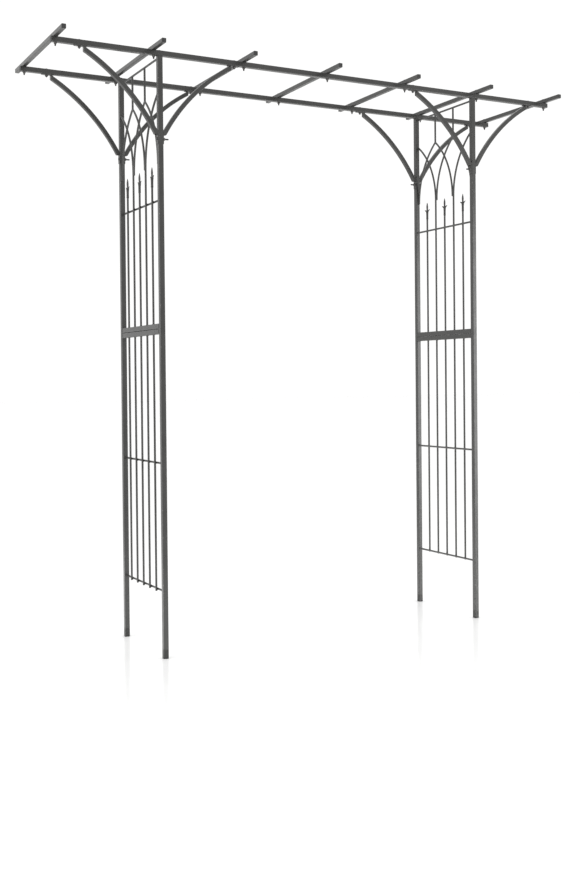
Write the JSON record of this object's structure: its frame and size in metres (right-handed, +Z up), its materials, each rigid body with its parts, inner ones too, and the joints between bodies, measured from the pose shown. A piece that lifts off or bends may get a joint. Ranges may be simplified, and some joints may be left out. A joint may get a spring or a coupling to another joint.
{
  "type": "trellis arch",
  "caption": "Walk-through metal garden arch: trellis side panels with spearhead rods under a flat bar canopy with curved braces.",
  "frame": {"origin": "on the ground, in the middle between the four feet", "axes": "+X along the two rails towards the right panel, +Y from the front to the back along the crossbars, +Z up"},
  "size_m": [2.2, 0.624, 2.224],
  "materials": {
    "frame_paint": "satin fine-texture powder coat, anthracite",
    "finial_iron": "matt black paint on a casting",
    "fastener_steel": "black zinc plating",
    "cap_plastic": "matt black moulded"
  },
  "bodies": {
    "root": {"front_rail": "frame_paint", "back_rail": "frame_paint", "crossbar_1": "frame_paint", "crossbar_2": "frame_paint", "crossbar_3": "frame_paint", "crossbar_4": "frame_paint", "crossbar_5": "frame_paint", "crossbar_6": "frame_paint", "crossbar_7": "frame_paint", "front_left_outer_brace": "frame_paint", "front_left_inner_brace": "frame_paint", "front_right_outer_brace": "frame_paint", "front_right_inner_brace": "frame_paint", "back_left_outer_brace": "frame_paint", "back_left_inner_brace": "frame_paint", "back_right_outer_brace": "frame_paint", "back_right_inner_brace": "frame_paint", "front_left_lower_post": "frame_paint", "front_left_upper_post": "frame_paint", "front_right_lower_post": "frame_paint", "front_right_upper_post": "frame_paint", "back_left_lower_post": "frame_paint", "back_left_upper_post": "frame_paint", "back_right_lower_post": "frame_paint", "back_right_upper_post": "frame_paint", "left_lower_top_bar": "frame_paint", "left_upper_bottom_bar": "frame_paint", "left_lower_rods": "frame_paint", "left_spear_rods": "frame_paint", "left_cane_rods": "frame_paint", "left_post_arches": "frame_paint", "left_cross_arches": "frame_paint", "left_bottom_wire": "frame_paint", "left_lower_wire": "frame_paint", "left_upper_wire": "frame_paint", "left_top_wire": "frame_paint", "right_lower_top_bar": "frame_paint", "right_upper_bottom_bar": "frame_paint", "right_lower_rods": "frame_paint", "right_spear_rods": "frame_paint", "right_cane_rods": "frame_paint", "right_post_arches": "frame_paint", "right_cross_arches": "frame_paint", "right_bottom_wire": "frame_paint", "right_lower_wire": "frame_paint", "right_upper_wire": "frame_paint", "right_top_wire": "frame_paint", "apex_rods": "frame_paint", "finials": "finial_iron", "brace_tabs": "frame_paint", "post_spigots": "fastener_steel", "post_top_plugs": "fastener_steel", "crossbar_bolts": "fastener_steel", "brace_rail_bolts": "fastener_steel", "brace_post_bolts": "fastener_steel", "rail_post_bolts": "fastener_steel", "nuts": "fastener_steel", "end_caps": "cap_plastic", "foot_caps": "cap_plastic"}
  },
  "joints": []
}
